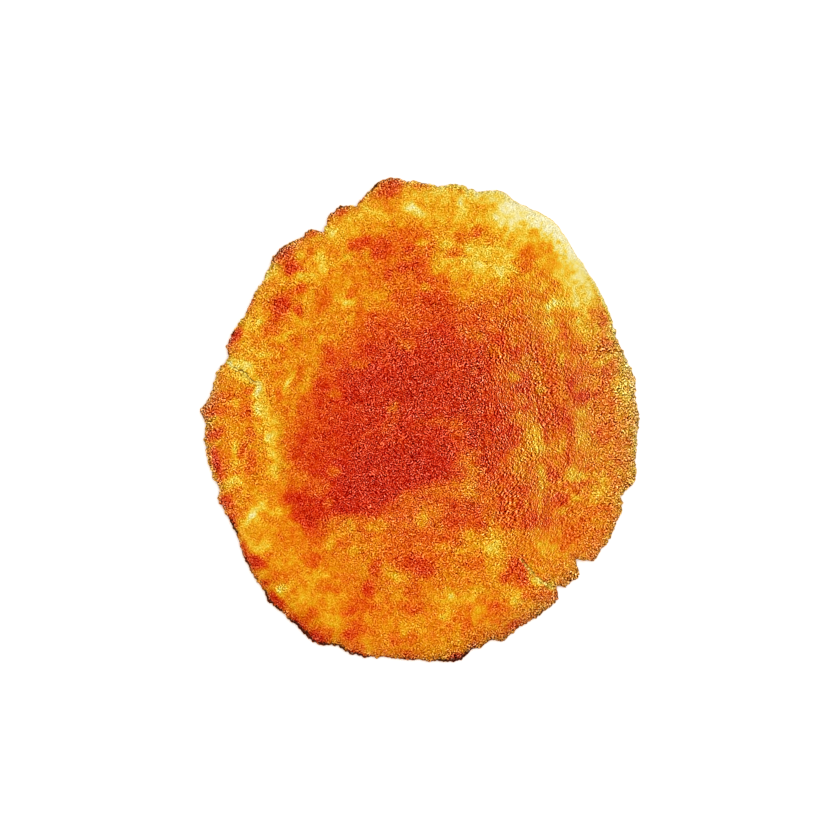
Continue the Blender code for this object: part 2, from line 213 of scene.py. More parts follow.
PALE_SPOTS = (  # percent of the way to palest, oval
    # the middle
    (25, -10.5, 6.5, 2.6, 1.6, 40), (30, -33, 11.5, 2, 2), (20, 18, -12, 4, 3),
    (35, 17.5, -22.5, 2.5, 3, -30), (25, 8, -24.5, 9, 3), (30, 19, -18, 3.5, 2, 20), (25, 13, -21.5, 3, 1.5),
    (25, -23, 22.5, 4.5, 1.5, 10), (25, -5.5, 29.5, 3, 2.5), (20, 5.5, 0.7, 6, 2), (25, 15, -15, 3, 4, 30),
    (22, 30, 18, 4, 8), (35, 2, -32, 4, 3), (20, -5.5, -28.3, 3, 3), (20, 13.5, -1, 2.5, 4),
    (20, -12, 1, 2, 4, -35),
    # the top
    (80, -4, 80.5, 3.5, 2.5, -35), (60, -1, 77.5, 2.5, 1.5, -20), (50, -8.5, 75, 1.8, 1.5),
    (35, -22, 78, 9, 3, 20), (35, -20.5, 62.5, 2, 3, 20), (30, -15, 75, 2.5, 3), (40, 6, 58.5, 2.5, 2.5),
    (50, 16, 59.5, 2.5, 1.5, -20), (50, 22.5, 57.5, 3.5, 2), (50, 8.5, 67, 2.5, 1.8),
    (45, 19, 66, 4.5, 3, 30), (40, -0.5, 67.5, 2, 1.5), (30, 16, 80.3, 2, 2.8), (35, -14, 49.5, 2, 3),
    (35, 1.3, 50.5, 2.2, 2), (25, 13.8, 47.8, 1.6, 1.8), (80, 29, 75, 9, 6, -35),
    (42, -27, 71.2, 7, 2.8, 15), (25, 8, 69, 6, 7), (30, 16, 84, 5, 2.5), (20, 12, 56, 5, 2),
    (35, 2, 87, 2.5, 1.2),
    # the upper right
    (50, 30, 57, 3, 3), (20, 34.5, 33, 3.5, 3.5), (35, 33.5, 17.5, 2.5, 2, -30), (40, 51, 24.5, 2, 3.5),
    (25, 19, 33, 5, 2, -30), (40, 47.5, 37, 1.5, 2.5), (45, 58.7, 36.8, 4.2, 4), (70, 54.3, 45, 9, 3.1, 8),
    (50, 70.5, 35, 2, 4, 15), (25, 64, 45, 4, 3, -40), (15, 62, 50, 5, 2.5, -40), (35, 43.5, 51.5, 3, 2.5),
    (30, 58, 48.5, 3, 2), (40, 37, 74, 2.5, 1.8), (70, 55.5, 52.8, 5.8, 3.4, -38), (40, 62, 38, 6, 4),
    (35, 48, 33, 3, 6), (35, 38.5, 22, 4, 3.5), (35, 43, 18.5, 2, 2.5), (20, 61, 30, 6, 6),
    (25, 26.5, 26.5, 2.5, 2), (40, 53.5, 48, 3, 2), (30, 30, 49, 2, 2), (15, 56, 46.5, 4, 3),
    (25, 58.5, 50, 2.5, 2), (15, 46, 41.5, 4.5, 6),
    # the right
    (40, 44, 13, 1.6, 2), (20, 65, 5, 4, 4), (25, 36, 8.5, 2.5, 2.5), (40, 68, 24, 4, 1.3, 30),
    (50, 75, 13, 3, 3), (50, 74.5, 24, 3, 5, 15), (30, 37, 2, 4, 3), (20, 59, 4, 3, 2),
    (45, 41.5, -4, 2.2, 4), (30, 43, -10.5, 3, 3), (50, 58, -19.5, 4.5, 2, 12), (35, 43, -16.5, 2, 2),
    (30, 66, -22, 3.5, 2.5), (40, 49.5, -8.5, 3.5, 3, 20), (35, 35.5, -11.5, 4, 2.5),
    (35, 74, -27, 2.6, 2.3, 30), (35, 39.5, -8, 3.5, 4), (40, 60, -3, 4, 7), (25, 68, -14, 5, 5),
    (30, 54.5, -17, 3, 2, 40), (30, 76, 13, 2, 2), (20, 64, -8, 3, 2), (10, 74, 13, 5, 6),
    (10, 74.5, -20, 3, 4),
    # the lower right
    (35, 36, -17, 2.5, 3, 30), (40, 44, -21, 1.8, 3.5), (30, 58, -28, 3, 1.5), (30, 52, -32, 2, 1.5, -40),
    (20, 43, -26, 2.5, 1.8), (25, 18, -42, 2.5, 2), (60, 25.5, -46.5, 3.3, 2.8),
    (50, 46.5, -47, 5.5, 2.5, -35), (30, 32, -48.5, 3.5, 1.5), (50, 42, -54, 3, 1.5, -20),
    (75, 42.5, -58.7, 3, 1.2, -25), (45, 47.5, -60.5, 2, 1.2, -25), (50, 40.8, -55.8, 1.2, 1.6),
    (50, 34.5, -65, 2, 3.5, 15), (30, 65, -27, 6, 3.5), (25, 32, -63.7, 3.6, 3.6), (30, 38, -67, 2, 2),
    (40, 25, -43, 6, 4), (27, 27, -54, 3, 6, -10),
    # the bottom
    (40, 0, -36, 2.5, 3), (60, 9.5, -62.6, 2.2, 2.2), (40, 15, -66, 4, 2, 10), (35, 9.5, -71, 2, 2),
    (30, -2, -75, 3, 4, 30), (30, -32, -79, 1.5, 3), (50, -10, -56, 3.5, 1.8, -25),
    (40, -6.5, -76.5, 2, 3, 20), (35, -16.5, -65, 2.5, 2), (30, -12, -53, 2.5, 3), (35, 8, -65, 5, 3),
    (35, 22, -62, 3.5, 2), (40, 20.8, -70.5, 2, 2.8), (30, 6.5, -45.5, 3, 1.5), (25, 17, -46, 4, 2),
    # the lower left
    (40, -16.5, -38, 3.5, 2.5), (70, -62.5, -33.2, 4.6, 1.4, 52), (45, -53, -32, 4, 1.8),
    (45, -61, -45, 4, 3), (35, -48.5, -50.5, 2.5, 2), (40, -52, -62.5, 2.5, 1.8), (15, -43, -65, 3.5, 3),
    (35, -35, -73, 4.5, 2.5, -10), (25, -26, -48, 1.5, 3.5, -10), (30, -28, -38, 3, 1.8, 10),
    (20, -34.2, -30, 1.8, 1.8), (25, -40, -23, 5, 3.5, -20), (40, -60, -30, 3, 2.5),
    (36, -64.5, -37.3, 5.5, 2.6), (30, -33, -18, 3, 2), (20, -46, -20, 3, 4), (28, -37, -56.5, 3.8, 3),
    (30, -34, -45, 2.5, 2.5), (35, -32, -66, 4, 4), (30, -41, -58, 2, 2.5), (35, -52.7, -61.2, 1.5, 1.2),
    (15, -67, -38, 2.5, 3),
    # the left
    (65, -67, 22.5, 6, 2, -10), (80, -71.7, 22, 2.2, 1, -35), (50, -49.6, 15.5, 3.2, 1, 55),
    (35, -70, 8, 2, 2), (60, -61.5, 13, 1.5, 3), (55, -59.3, 5, 3, 2.5), (6, -37, 0, 6, 14),
    (70, -56.3, -7, 1.8, 4.2), (65, -56, -17, 1.8, 2.5), (35, -60, -1.5, 3, 2.5), (50, -70, -12, 1.6, 5),
    (65, -71, -21.5, 3.3, 1.9, 20), (30, -64, -25.5, 4.5, 2), (33, -42.5, 16.5, 3, 5.5, -20),
    (62, -67.5, 18.2, 6.3, 2.3, -15), (30, -60, 15, 4, 2, -40), (30, -48, 4, 1.5, 4), (30, -52, -15, 4, 2),
    (35, -66, 0, 2, 2), (30, -54.5, -5, 3, 2), (60, -78, 1.4, 2, 1.4, 20), (35, -56.6, -8, 1.5, 3.2),
    # the upper left
    (60, -34.5, 71.3, 4.3, 1.9, -48), (60, -38, 60, 2, 5, 10), (40, -45.5, 63, 1.8, 1.5),
    (50, -43, 54.5, 4, 1.8), (55, -28, 45, 3, 1.3), (40, -28.5, 62, 1.6, 2), (35, -32, 68, 3, 2),
    (30, -42.5, 58.5, 2, 1.8), (35, -57, 56, 2, 3, 20), (40, -62.4, 37.5, 3, 4),
    (50, -52, 32.4, 3.2, 1.2, 30), (30, -45, 37.5, 3, 1.3), (35, -60, 26, 3, 1.5, -30),
    (40, -42, 49.5, 1.5, 3), (25, -20, 46, 9, 3.5), (30, -27, 38, 1.5, 2.5), (30, -61.5, 27.5, 5, 5),
    (20, -29, 56, 10, 6), (35, -61, 43, 1.5, 1.5), (8, -49, 46, 9, 9), (50, -50.3, 33.7, 1.8, 0.8, 40),
    (50, -28.8, 62, 2, 0.7, -40), (50, -37.5, 31, 0.6, 1.3), (40, -54.5, 57.5, 1.8, 2.6, 20),
    (15, -62.5, 38, 2, 7, -28), (35, -39, 69.5, 1.3, 1.3), (25, -66.5, 38.5, 1.8, 3.5, -30),
)
STREAKS = (  # points along the line, half-width, share of the way to darkest or, below zero, to palest
    (((-62, 14), (-60, 6), (-54.5, -1), (-55, -8), (-55.5, -18)), 3.4, -0.42),
)
CREASES = (  # the same for fine lines
    (((-37.3, 74), (-33.3, 70), (-31.3, 67.2)), 1, -0.4),
    (((-69.9, -6), (-69.6, -11), (-69.5, -15)), 1.1, -0.25),
    (((-59.6, -29.5), (-62.5, -33), (-65.5, -38)), 1.4, -0.4),
    (((-51.4, 13), (-49.6, 16), (-47.4, 19.8)), 0.8, -0.4),
    (((41.2, 10), (42.3, 4), (43.6, -1)), 0.8, -0.2),
    (((43.9, -16), (44.3, -22), (43.6, -27), (43.2, -34)), 0.9, -0.35),
    (((42.6, 9), (43.4, 3), (45.6, -3), (48, -9)), 0.9, 0.25),
    (((48.2, 16), (47.6, 12), (47.6, 9.5)), 0.8, 0.25),
    (((49.9, 22), (49.4, 18), (49.4, 15)), 0.8, 0.22),
    (((39.8, 16), (39.4, 12), (39.5, 9)), 0.8, 0.2),
    (((54.7, 15), (54.4, 10)), 0.8, 0.3),
    (((-55.7, -3), (-57, -8), (-57.2, -11.5)), 1.5, -0.35),
    (((-61.5, 14.5), (-61.3, 9), (-61.7, 4)), 1, -0.25),
    (((-54.6, -14), (-55.6, -18)), 1.5, -0.2),
)
SPOT_SOFTNESS = 0.6
PATCH_SOFTNESS = 0.5
WARPS = (  # size, how far they pull blushes, spots and streaks out of shape, seeds for X and Y
    (7 * MM, 1.3 * MM, 41, 43), (2.6 * MM, 0.7 * MM, 42, 44),
)
MOTTLES = ((9 * MM, 0.09, 31), (4.2 * MM, 0.165, 32), (2.2 * MM, 0.13, 33))  # size, amount, seed
MOTTLE_LIMIT = 1.35  # crust this brown shows no mottles
MOTTLE_SIZE = 1.9 * MM  # of the finest ones, which the material adds
MOTTLE_BROWN = 0.17
MOTTLE_DRAWN = (1.35, 0.85, 1)  # how much finer they are along X and Y where the crust is bunched
MOTTLE_SHADE = 0.11  # how much darker the darker mottles are on brown crust, besides being browner

# Browning of the underside.
UNDER_BROWN = 0.34
UNDER_BROWNING = ((20 * MM, 0.22, 61), (3 * MM, 0.12, 63))  # size, amount, seed
UNDER_MARKS = (8 * MM, 0.35, 62)
UNDER_MARKS_AT = (0.15, 0.55)  # the height of the noise at which they start, and are full

# The colours. A ramp is a number's start and end, and what it is turned into at each of them.
CRUST_TONES = (  # how brown, and the colour of crust that brown
    (-0.4, (0.761, 0.743, 0.619)),
    (-0.18, (0.726, 0.673, 0.407)),
    (0, (0.686, 0.558, 0.137)),
    (0.12, (0.673, 0.451, 0.037)),
    (0.25, (0.673, 0.336, 0.009)),
    (0.42, (0.646, 0.217, 0.003)),
    (0.6, (0.624, 0.124, 0.002)),
    (0.78, (0.584, 0.060, 0.002)),
    (0.92, (0.516, 0.022, 0.001)),
    (1.05, (0.434, 0.008, 0.001)),
)
CHAR_COLOUR = (0.034, 0.005, 0.003, 1)
SCORCH_COLOUR = (0.115, 0.04, 0.016, 1)
# Painted shade in the open splits.
GAP_SHADE_COLOUR = (0.1, 0.045, 0.004, 1)
# Dust on the rim, also painted shade of its rounded edge.
DUST_AND_SHADE_COLOUR = (0.3, 0.2, 0.075, 1)
CRUMB_COLOUR = (0.74, 0.54, 0.11, 1)
CRUST_ROUGHNESS = 0.85
DISPLAY_GAMMA = 2.2
DOT_SIZE = 0.62 * MM
DOTS_NEAR_EDGE = (0, 2.4, 0.1, -0.34)
DOTS = (0.03, 0.12, 0, 0.75)
DUST_SPECKLES = (-0.15, 0.15, 0.6, 1.4)
CHAR_RAGGED_SIZE = 0.9 * MM
CHAR_RAGGED = 1.3
CHAR = (-0.3, 0.25, 0.92, 0)
SPLIT_WANDER_SIZE = 1.2 * MM
SPLIT_WANDER = 0.9
SPLIT_BROKEN_SIZE = 0.85 * MM
SPLIT_CRUMB = 0.85  # how strong the pale crumb is
CRUMB_BROKEN = (-0.1, 0.03, 0.3, 1)
GAP_SHADE_HALF_WIDTH = (0.1, 0.32)  # of the painted shade's dark middle, and where it ends
GAP_SHADE_BROKEN = (-0.18, -0.04, 0.2, 1)

# The grain: fine flecks, partly floury specks and partly painted light and shade, each with a painted lit
# side and a painted dark side, as if tiny raised grains were lit from one side.
GRAIN_SIZE = 0.64 * MM
GRAIN_STEP = 0.4 * MM  # from a fleck's painted lit side to its painted dark side
GRAIN_STEP_DRAWN = (0.4 * MM, 0.1 * MM, 0)  # the same where the crust is bunched
GRAIN_TURNS = 1.8 * MM  # how far the flecks keep to one direction
# the usual way of the step from a fleck's painted lit side to its painted dark side
GRAIN_LEAN = (-0.42, -0.47, 0)
GRAIN_TWIST = 0.3
GRAIN_DETAIL = 1.5
GRAIN_ROUGHNESS = 0.6
GRAIN_FINE = 1.14  # how much finer it is in the middle
GRAIN_DRAWN = (1.15, 1, 1)  # how much finer it is along X and Y where the crust is bunched
FINE_PATCH = (0.3, 2, 0, 50, 42, 25)  # softness of the edge, oval
DRAWN_PATCH = (0.3, 43, 2, 20, 58)
# how strongly the flecks' painted light and shade lighten and darken the crust
GRAIN_PAINTED_LIGHT_GAIN = 2.07
GRAIN_DARKENING = (0.096, 0.089, 0.095)
GRAIN_BUMP = 0.5
GRAIN_BUMP_HEIGHT = 0.2 * MM
GRAIN_BASE = 0.55
GRAIN_SWING = ((5 * MM, 0.42, 81),)
GRAIN_ON_BROWN = 0.18  # how much more grain there is on darker crust
GRAIN_BROWN_MEAN = 0.55
GRAINY = (  # how much more grain there is, oval
    (0.2, 6, 4, 58, 46), (0.18, 32, 0, 18, 46), (0.14, 72, 4, 13, 46), (-0.24, -50, -52, 36, 20, -42),
    (-0.14, 10, -74, 46, 12), (-0.26, 46, 72, 32, 13, -42), (-0.2, 61, 50, 9, 14, 30), (-0.2, -49, 0, 9, 34),
    (-0.12, -30, 40, 14, 22, -25), (-0.15, 14, 53, 14, 6), (-0.2, 48, -47, 9, 9), (-0.08, -22, 60, 20, 16),
    (-0.12, 30, -70, 14, 8, 30), (-0.08, -32, 30, 18, 26), (-0.1, -6, 42, 10, 8), (-0.14, 0, 79, 26, 8),
    (0.05, 10, 10, 22, 16), (0.18, -72, -28, 7, 10), (0.2, 46, -62, 19, 12, 35), (0.22, 22, -81, 12, 5, 15),
    (0.12, -74, 26, 5, 7), (0.14, 53, 49, 7, 7), (-0.05, 50, -5, 14, 14), (-0.18, -35, -3, 10, 24),
    (0.6, -52.7, -61.2, 2, 1.8),
)
DULL = ((0.45, 74, 12, 18, 48), (0.35, 47, 2, 16, 46))  # how dull and floury the crust is, oval
DULL_TINT = (-0.035, 0, 0.085)  # what dull crust adds to its red, green and blue

# Marks round the rim: bearing, half-width in degrees, how far in they reach in mm, how strong they are.
FLOURED = (
    (56, 22, 5.3, 1), (66, 6, 7, 0.9), (78, 14, 3, 0.6), (56, 34, 1.3, 0.85), (136, 3.5, 1.5, 0.4),
    (36, 12, 1.4, 0.75),
)
FLOUR_BROWN = -0.14
GRAINY_RIM = (  # how much more grain there is, rather than how strong the mark is
    (10, 30, 6, 0.4), (345, 22, 4, 0.4), (310, 22, 3, 0.5), (177, 8, 4.5, 0.6), (192, 20, 3, 0.55),
    (130, 7, 3.5, 0.6), (278, 8, 3, 0.7),
)
GRAIN_AT_EDGE = 0.45
GRAIN_EDGE_DEPTH = 3 * MM
DUSTY = (  # flour that dulls the rim, partly painted shade of its rounded edge
    (8, 34, 9, 0.09), (8, 26, 3, 0.24), (175, 9, 3, 0.2), (280, 8, 2.5, 0.2), (130, 7, 2.5, 0.15),
    (305, 26, 7, 0.15),
)
# Dust all round the edge, partly painted shade of its rounded side.
EDGE_DUST_AND_SHADE = 0.16
DUST_AND_SHADE_REACH = 3 * MM
HAZY = ((15, 16, 3.2, 0.055),)  # how much lighter the flour makes the rim
EDGE_FLOUR_AND_PAINTED_LIGHT = 0.15  # how much lighter the very edge and the wall are: partly flour, partly painted light against the shade of the rounded edge
FLOUR_AND_PAINTED_LIGHT_REACH = 0.5 * MM
PAINTED_SHADE_RIM = ((237, 24, 7, 0.05), (285, 38, 7, 0.05))  # painted shade on the lower rim: how much darker it is, without being browner
PAINTED_SHADE_PALER = 1.4  # how much less brown the painted shade makes it, for each unit darker
RIM_RAGGED = ((2.6 * MM, 0.7, 71), (1.1 * MM, 0.5, 72))  # how ragged their inner edge is: size, share, seed
RIM_FADE = 1.4  # how far in the marks end, as a share of their reach
BURNT = (  # bearing, half-width in degrees, how far in from the edge the crust is black, in mm
    (101, 5, 0.65), (111, 4, 0.6), (121, 3, 0.45), (129.5, 6.5, 0.65), (144, 3, 0.4), (156, 6, 0.45),
    (177, 4, 0.5), (188, 7, 0.3), (209, 5, 1.4), (219, 6, 0.8), (230, 6, 1.2), (240, 6, 1.55),
    (248, 6, 1.35), (254, 5, 1), (265, 6, 0.3), (277, 5, 1.25), (280.5, 2.4, 1.5), (291, 4, 0.45),
    (301, 4, 0.4), (19, 7, 0.25),
)
BURNT_RAGGED = ((2.5 * MM, 0.7, 73),)
BURNT_ALL_ROUND = -0.05
PALE_SIDE = (55, 38)  # bearing and half-width of the stretch of rim that isn't scorched
PALE_SIDE_CHAR = -1.2  # what that adds to how deep the char is, in mm
PALE_SIDE_SCORCH = -0.9  # and to how strong the scorched dots are
PAINTED_SHADE_SIDE = (264, 85)  # bearing and half-width of the lower stretch of rim, in painted shade, whose edge isn't painted paler
PAINTED_SHADE_SIDE_SWING = 1.4  # above 1, as its edge is a little darker, in painted shade
# Painted light: the crust paler towards the very edge, against the shade on its rounded side.
PAINTED_LIGHT_AT_EDGE = 0.24
PAINTED_LIGHT_REACH = 0.6 * MM

# The wall of the edge below its browned upper lip, down to the underside.
WALL_TOP = 0.38  # the share of the height from the seam to the top face at which it starts to show
WALL_FADE = 0.3
WALL_BROWN = 0.44
WALL_BROWNING = ((6 * MM, 0.12, 65),)
WALL_GRAIN = 0.38
WALL_CHAR = -2.5  # what the wall adds to how deep the char is, in mm

# The points of the skin.
TOP_SPACING = 0.58 * MM
UNDER_SPACING = 1.2 * MM
EDGE_SPACING = 0.45 * MM
TOP_ROUND_STEPS = 9
UNDER_ROUND_STEPS = 5
FEWEST_POINTS = 6
ROUND_SHARE = 0.85  # how long a rounding is over the skin, as a share of a quarter circle
TOP_ISLAND = ((0.405, 0.405), 0.4)  # middle and radius of each side's flat map
UNDER_ISLAND = ((0.815, 0.815), 0.18)

# The stage.
FLOOR_SIZE = 3
FLOOR_COLOUR = (0.95, 0.95, 0.95, 1)
FLOOR_ROUGHNESS = 0.9
SKY_COLOUR = (1, 1, 1, 1)
SKY_STRENGTH = 0.46
KEY_SIZE = 0.8
KEY_ENERGY = 21.2
KEY_PLACE = (0.06, 0.08, 1.5)
CAMERA_HEIGHT = 0.9
SENSOR_WIDTH = 36
VIEW_HEIGHT = 6 * MM
VIEW_WIDTH = 312.5 * MM


def ease(share):
    """A smooth step from 0 to 1 as share goes from 0 to 1."""
    share = np.clip(share, 0, 1)
    return share * share * (3 - 2 * share)


def bump(distance, half_width):
    """A round bump: 1 at distance 0, and 0 from half_width on."""
    return np.cos(np.clip(np.abs(distance) / half_width, 0, 1) * np.pi / 2) ** 2


def blend(first, second, share):
    """The first number where share is 0, going over to the second where it is 1."""
    return first * (1 - share) + second * share


def noise_at(x, y, size, seed):
    """Smooth noise from -1 to 1 at points, with a new lump about every size."""
    across = (0.8 * x - 0.6 * y) / size
    along = (0.6 * x + 0.8 * y) / size
    return np.array([noise.noise((u, v, seed)) for u, v in zip(across, along)])


def noise_layers(x, y, layers):
    """Layers of noise added up. Each has its size, its strength and its seed."""
    return sum(strength * noise_at(x, y, size, seed) for size, strength, seed in layers)


def from_middle(bearing, distance):
    """X and Y of points at a bearing and a distance from the middle."""
    angle = np.radians(bearing)
    return distance * np.cos(angle), distance * np.sin(angle)


def turn_between(bearing, other):
    """The angle from one bearing to another, from -180 to 180 degrees."""
    return (bearing - other + 180) % 360 - 180


def along_rim(bearing, at, half_width):
    """A round bump along the rim: 1 at a bearing, and 0 from half_width degrees on."""
    return bump(turn_between(bearing, at), half_width)


def edge_noise(bearing, layers):
    """Layers of noise round the edge."""
    return noise_layers(*from_middle(bearing, MEAN_RADIUS), layers)


def distance_to_line(x, y, points):
    """The distance from points to a line through points in millimetres, and the side they are on."""
    nearest = np.full(x.shape, np.inf)
    side = np.ones(x.shape)
    for start, end in zip(points, points[1:]):
        ax, ay, bx, by = (value * MM for value in (*start, *end))
        length = math.hypot(bx - ax, by - ay)
        along = np.clip(((x - ax) * (bx - ax) + (y - ay) * (by - ay)) / length**2, 0, 1)
        distance = np.hypot(x - ax - along * (bx - ax), y - ay - along * (by - ay))
        closer = distance < nearest
        nearest = np.where(closer, distance, nearest)
        left = np.sign((bx - ax) * (y - ay) - (by - ay) * (x - ax))
        side = np.where(closer, left, side)
    return nearest, side


def along_line(x, y, points, half_width):
    """A round bump along a line: 1 on it, and 0 from half_width millimetres on."""
    return bump(distance_to_line(x, y, points)[0], half_width * MM)


def oval_patch(x, y, soft, at_x, at_y, half_length, half_width, turn=0):
    """1 inside an oval and 0 outside, with a soft edge."""
    dx, dy = x / MM - at_x, y / MM - at_y
    angle = math.radians(turn)
    along = (dx * math.cos(angle) + dy * math.sin(angle)) / half_length
    across = (dy * math.cos(angle) - dx * math.sin(angle)) / half_width
    return ease((1 + soft - np.hypot(along, across)) / (2 * soft))


def patches(x, y, rows):
    """Oval patches added up, each as strong as its row says."""
    return sum(strength * oval_patch(x, y, PATCH_SOFTNESS, *oval) for strength, *oval in rows)


def oval_radius(bearing):
    """The smooth outline's distance from the middle."""
    radius = np.full(bearing.shape, MEAN_RADIUS)
    for count, share, crest in OVAL_WAVES:
        radius += MEAN_RADIUS * share * np.cos(np.radians(count * (bearing - crest)))
    return radius


def ragged_reach(bearing):
    """How far the lobes, notches and crags carry the edge beyond the smooth outline."""
    reach = edge_noise(bearing, CRAGS)
    for at, half, out in LOBES:
        reach += out * MM * along_rim(bearing, at, half)
    for at, half, depth in NOTCHES:
        reach -= depth * MM * np.clip(1 - np.abs(turn_between(bearing, at)) / half, 0, 1)
    return reach


def tint(brown, mask, share):
    """Moves brownness a share of the way to darkest or, for a share below zero, to palest."""
    target = 1 if share > 0 else 0
    return brown + (target - brown) * abs(share) * mask


def across_wrinkles(x, y):
    """How far across the wrinkles a point is. They stand upright, sway a little, and lean at the bottom."""
    return x + noise_layers(x, y, WRINKLE_SWAY) + WRINKLE_LEAN * np.maximum(WRINKLE_UPRIGHT - y, 0)


def wrinkles(x, y):
    """Fine upright wrinkles where the crust is bunched, from -1 to 1."""
    across, along = across_wrinkles(x, y) / WRINKLE_SIZE, y / (WRINKLE_SIZE * WRINKLE_STRETCH)
    lines = np.array([noise.noise((u, v, 52)) for u, v in zip(across, along)])
    return lines * oval_patch(x, y, *BUNCHED)


def browning(x, y):
    """How brown the top is."""
    warp_x, warp_y = x.copy(), y.copy()
    for size, reach, seed_x, seed_y in WARPS:
        warp_x += reach * noise_at(x, y, size, seed_x)
        warp_y += reach * noise_at(x, y, size, seed_y)
    brown = np.full(x.shape, BASE_BROWN)
    for share, *oval in BLUSHES:
        brown = tint(brown, oval_patch(warp_x, warp_y, *oval), share)
    for spots, direction in ((DARK_SPOTS, 1), (PALE_SPOTS, -1)):
        for percent, *oval in spots:
            mask = oval_patch(warp_x, warp_y, SPOT_SOFTNESS, *oval)
            brown = tint(brown, mask, direction * percent / 100)
    for points, half_width, share in STREAKS:
        brown = tint(brown, along_line(warp_x, warp_y, points, half_width), share)
    for points, half_width, share in CREASES:
        brown = tint(brown, along_line(x, y, points, half_width), share)
    brown += WRINKLE_BROWN * wrinkles(x, y)
    for size, amount, seed in MOTTLES:
        brown += amount * (MOTTLE_LIMIT - brown) * noise_at(x, y, size, seed)
    return brown


def under_browning(x, y):
    """How brown the underside is: paler, with scattered marks."""
    size, darkness, seed = UNDER_MARKS
    start, full = UNDER_MARKS_AT
    marks = darkness * ease((noise_at(x, y, size, seed) - start) / (full - start))
    return UNDER_BROWN + noise_layers(x, y, UNDER_BROWNING) + marks


def rim_marks(bearing, inset, x, y, rows):
    """How strongly marks cover the rim, with a ragged inner edge."""
    ragged = 1 + noise_layers(x, y, RIM_RAGGED)
    cover = np.zeros(bearing.shape)
    for at, half, depth, strength in rows:
        along = np.sqrt(along_rim(bearing, at, half))
        inwards = ease(RIM_FADE - inset / (depth * MM * ragged))
        cover = np.maximum(cover, strength * along * inwards)
    return cover


def burnt_depth(bearing):
    """How far in from the edge the crust is black, in millimetres. Below zero, it isn't."""
    depth = np.full(bearing.shape, BURNT_ALL_ROUND)
    for at, half, reach in BURNT:
        depth = np.maximum(depth, reach * np.sqrt(along_rim(bearing, at, half)))
    return depth + edge_noise(bearing, BURNT_RAGGED) + PALE_SIDE_CHAR * along_rim(bearing, *PALE_SIDE)


def opening(x, stretch):
    """How far a split is open at points, from 0 to 1, for a stretch along X that it opens and closes over."""
    starts, wide, narrows, ends = stretch
    return ease((x / MM - starts) / (wide - starts)) * ease((ends - x / MM) / (ends - narrows))


# The skin of the bread.


def thickness(x, y):
    """The bread's smooth thickness: the rim's, rising to the pocket's inside an oval."""
    along = (x - POCKET_MIDDLE[0]) / POCKET_REACH[0]
    across = (y - POCKET_MIDDLE[1]) / POCKET_REACH[1]
    inside = (1 - np.hypot(along, across)) * POCKET_REACH[0]
    return RIM_THICKNESS + (POCKET_THICKNESS - RIM_THICKNESS) * ease(inside / POCKET_SLOPE)


def relief(x, y):
    """The height of folds, blisters, lumps, wrinkles, the crack and the tear over the smooth top."""
    height = WRINKLE_HEIGHT * wrinkles(x, y) + noise_layers(x, y, LUMPS)
    for points, half_width, rise in FOLDS:
        height += rise * MM * along_line(x, y, points, half_width)
    for at_x, at_y, radius, rise in BLISTERS:
        height += rise * MM * bump(np.hypot(x - at_x * MM, y - at_y * MM), radius * MM)
    for _, line, stretch in SPLITS:
        distance = distance_to_line(x, y, line)[0]
        groove = sum(depth * bump(distance, half_width) for half_width, depth in GROOVES)
        height -= groove * opening(x, stretch)
    return height


def curl(bearing):
    """How far the edge stands off the table."""
    return CURL_MEAN + CURL_SWING * np.cos(np.radians(bearing - CURL_BEARING))


def side_rings(above):
    """The rings of one side from just inside the seam to the one round the middle.

    Each is its distance in from the edge, the share of the height from the seam to the full face that it has
    reached, the space between its points, and its distance from the middle measured over the skin.
    """
    rounding, steps, spacing = UNDER_ROUND, UNDER_ROUND_STEPS, UNDER_SPACING
    if above:
        rounding, steps, spacing = TOP_ROUND, TOP_ROUND_STEPS, TOP_SPACING
    flat = MEAN_RADIUS - rounding
    arc = math.pi / 2 * rounding * ROUND_SHARE
    rings = [(0, 0, EDGE_SPACING, flat + arc)]
    for step in range(1, steps + 1):
        turn = math.pi / 2 * step / steps
        over = flat + arc * (1 - step / steps)
        rings.append((rounding * (1 - math.cos(turn)), math.sin(turn), EDGE_SPACING, over))
    count = round(flat / spacing)
    for index in range(1, count):
        inset = rounding + flat * index / count
        rings.append((inset, 1, spacing, MEAN_RADIUS - inset))
    return rings


def stitch(outer, inner):
    """Triangles between two rings of vertex numbers, both anticlockwise from the same bearing."""
    outer = outer + outer[:1]
    inner = inner + inner[:1]
    faces = []
    here, there = 0, 0
    while here + there < len(outer) + len(inner) - 2:
        outer_next = (here + 1) / (len(outer) - 1)
        inner_next = (there + 1) / (len(inner) - 1)
        if outer_next <= inner_next:
            faces.append((outer[here], outer[here + 1], inner[there]))
            here += 1
        else:
            faces.append((outer[here], inner[there + 1], inner[there]))
            there += 1
    return faces


def side_points(above):
    """The points of one side, ring by ring and last its middle, and how many each ring has.

    Each point is its bearing, inset, fullness and distance over the skin, as for the rings.
    """
    columns = []
    sizes = []
    for inset, fullness, spacing, over in side_rings(above):
        count = max(FEWEST_POINTS, round(2 * math.pi * (MEAN_RADIUS - inset) / spacing))
        bearing = 360 * np.arange(count) / count
        columns.append(np.stack([bearing, *(np.full(count, value) for value in (inset, fullness, over))]))
        sizes.append(count)
    columns.append(np.array([[0], [MEAN_RADIUS], [1], [0]]))
    return np.concatenate(columns, axis=1), sizes


def side_faces(sizes):
    """Triangles over one side, in the order of its points."""
    faces = []
    start = 0
    for size, inner_size in zip(sizes, sizes[1:]):
        outer = list(range(start, start + size))
        start += size
        faces += stitch(outer, list(range(start, start + inner_size)))
    last = start + sizes[-1]
    faces += [(start + index, start + (index + 1) % sizes[-1], last) for index in range(sizes[-1])]
    return faces


